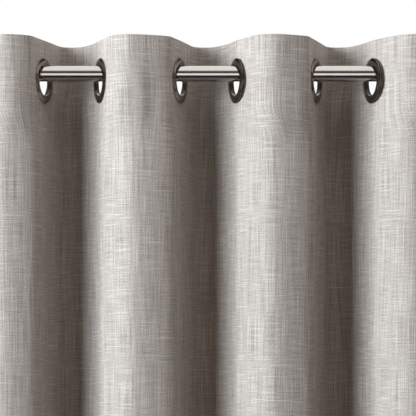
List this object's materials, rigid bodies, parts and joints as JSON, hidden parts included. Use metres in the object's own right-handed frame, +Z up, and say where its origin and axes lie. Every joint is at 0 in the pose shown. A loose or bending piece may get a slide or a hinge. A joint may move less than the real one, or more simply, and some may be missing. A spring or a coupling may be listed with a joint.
{
  "type": "window curtain on rod",
  "caption": "Grommet-top linen-look curtain panel hanging in deep folds on an extending metal rod with ball finials, held by two open-cradle wall brackets.",
  "frame": {"origin": "on the wall plane, midway between the two brackets, at the height of the rod's axis", "axes": "+X to the right along the rod as seen from the room, +Y from the room into the wall, +Z up"},
  "size_m": [1.0174, 0.1915, 2.134],
  "materials": {
    "curtain_fabric": "matte linen-look weave in warm light grey with slubs",
    "rod_nickel": "dark satin nickel plate, fairly glossy",
    "grommet_nickel": "dark nickel plate, polished",
    "bracket_steel": "dark satin nickel plate on steel",
    "screw_steel": "zinc-plated steel",
    "nylon": "moulded black nylon"
  },
  "bodies": {
    "wall_brackets": {"bracket_plate_left": "bracket_steel", "bracket_arm_left": "bracket_steel", "wall_screw_left_upper": "screw_steel", "wall_screw_left_lower": "screw_steel", "bracket_plate_right": "bracket_steel", "bracket_arm_right": "bracket_steel", "wall_screw_right_upper": "screw_steel", "wall_screw_right_lower": "screw_steel"},
    "set_screw_left": {"set_screw_left": "screw_steel"},
    "set_screw_right": {"set_screw_right": "screw_steel"},
    "rod": {"rod_outer_tube": "rod_nickel", "rod_end_ring": "nylon", "rod_end_plug_left": "nylon"},
    "rod_inner": {"rod_inner_tube": "rod_nickel", "rod_end_plug_right": "nylon"},
    "finial_left": {"finial_left": "rod_nickel"},
    "finial_right": {"finial_right": "rod_nickel"},
    "hanger_1": {"grommet_1_front": "grommet_nickel", "grommet_1_back": "grommet_nickel", "panel_header_1": "curtain_fabric", "panel_flank_1": "curtain_fabric", "panel_fold_1": "curtain_fabric"},
    "hanger_2": {"grommet_2_front": "grommet_nickel", "grommet_2_back": "grommet_nickel", "panel_header_2": "curtain_fabric", "panel_flank_2": "curtain_fabric", "panel_fold_2": "curtain_fabric"},
    "hanger_3": {"grommet_3_front": "grommet_nickel", "grommet_3_back": "grommet_nickel", "panel_header_3": "curtain_fabric", "panel_flank_3": "curtain_fabric", "panel_fold_3": "curtain_fabric"},
    "hanger_4": {"grommet_4_front": "grommet_nickel", "grommet_4_back": "grommet_nickel", "panel_header_4": "curtain_fabric", "panel_flank_4": "curtain_fabric", "panel_fold_4": "curtain_fabric"},
    "hanger_5": {"grommet_5_front": "grommet_nickel", "grommet_5_back": "grommet_nickel", "panel_header_5": "curtain_fabric", "panel_flank_5": "curtain_fabric", "panel_fold_5": "curtain_fabric"},
    "hanger_6": {"grommet_6_front": "grommet_nickel", "grommet_6_back": "grommet_nickel", "panel_header_6": "curtain_fabric", "panel_flank_6": "curtain_fabric", "panel_fold_6": "curtain_fabric"},
    "hanger_7": {"grommet_7_front": "grommet_nickel", "grommet_7_back": "grommet_nickel", "panel_header_7": "curtain_fabric", "panel_flank_7": "curtain_fabric", "panel_fold_7": "curtain_fabric"},
    "hanger_8": {"grommet_8_front": "grommet_nickel", "grommet_8_back": "grommet_nickel", "panel_header_8": "curtain_fabric", "panel_flank_8": "curtain_fabric"}
  },
  "joints": [
    {"name": "set_screw_left_turn", "type": "hinge", "parent": "wall_brackets", "child": "set_screw_left", "pos_m": [-0.43048, -0.105, -0.02], "axis": [0, 0, 1], "continuous": true},
    {"name": "set_screw_right_turn", "type": "hinge", "parent": "wall_brackets", "child": "set_screw_right", "pos_m": [0.43048, -0.105, -0.02], "axis": [0, 0, 1], "continuous": true},
    {"name": "rod_lift", "type": "slide", "parent": "wall_brackets", "child": "rod", "axis": [0, 0, 1], "range_m": [0, 0.04]},
    {"name": "rod_extend", "type": "slide", "parent": "rod", "child": "rod_inner", "axis": [1, 0, 0], "range_m": [0, 0.762]},
    {"name": "finial_left_turn", "type": "hinge", "parent": "rod", "child": "finial_left", "pos_m": [-0.45748, -0.105, 0], "axis": [1, 0, 0], "continuous": true},
    {"name": "finial_right_turn", "type": "hinge", "parent": "rod_inner", "child": "finial_right", "pos_m": [0.45748, -0.105, 0], "axis": [1, 0, 0], "continuous": true},
    {"name": "panel_slide", "type": "slide", "parent": "rod", "child": "hanger_1", "axis": [1, 0, 0], "range_m": [-0.06, 0.06]},
    {"name": "curtain_draw", "type": "slide", "parent": "hanger_1", "child": "hanger_2", "axis": [1, 0, 0], "range_m": [-0.06, 0], "deforming": ["panel_fold_1"]},
    {"name": "fold_2_close", "type": "slide", "parent": "hanger_2", "child": "hanger_3", "axis": [1, 0, 0], "range_m": [-0.042, 0], "deforming": ["panel_fold_2"]},
    {"name": "fold_3_close", "type": "slide", "parent": "hanger_3", "child": "hanger_4", "axis": [1, 0, 0], "range_m": [-0.06, 0], "deforming": ["panel_fold_3"]},
    {"name": "fold_4_close", "type": "slide", "parent": "hanger_4", "child": "hanger_5", "axis": [1, 0, 0], "range_m": [-0.042, 0], "deforming": ["panel_fold_4"]},
    {"name": "fold_5_close", "type": "slide", "parent": "hanger_5", "child": "hanger_6", "axis": [1, 0, 0], "range_m": [-0.06, 0], "deforming": ["panel_fold_5"]},
    {"name": "fold_6_close", "type": "slide", "parent": "hanger_6", "child": "hanger_7", "axis": [1, 0, 0], "range_m": [-0.042, 0], "deforming": ["panel_fold_6"]},
    {"name": "fold_7_close", "type": "slide", "parent": "hanger_7", "child": "hanger_8", "axis": [1, 0, 0], "range_m": [-0.06, 0], "deforming": ["panel_fold_7"]}
  ],
  "couplings": [
    {"joint": "fold_2_close", "follows": "curtain_draw", "ratio": 0.7},
    {"joint": "fold_3_close", "follows": "curtain_draw", "ratio": 1},
    {"joint": "fold_4_close", "follows": "curtain_draw", "ratio": 0.7},
    {"joint": "fold_5_close", "follows": "curtain_draw", "ratio": 1},
    {"joint": "fold_6_close", "follows": "curtain_draw", "ratio": 0.7},
    {"joint": "fold_7_close", "follows": "curtain_draw", "ratio": 1}
  ]
}
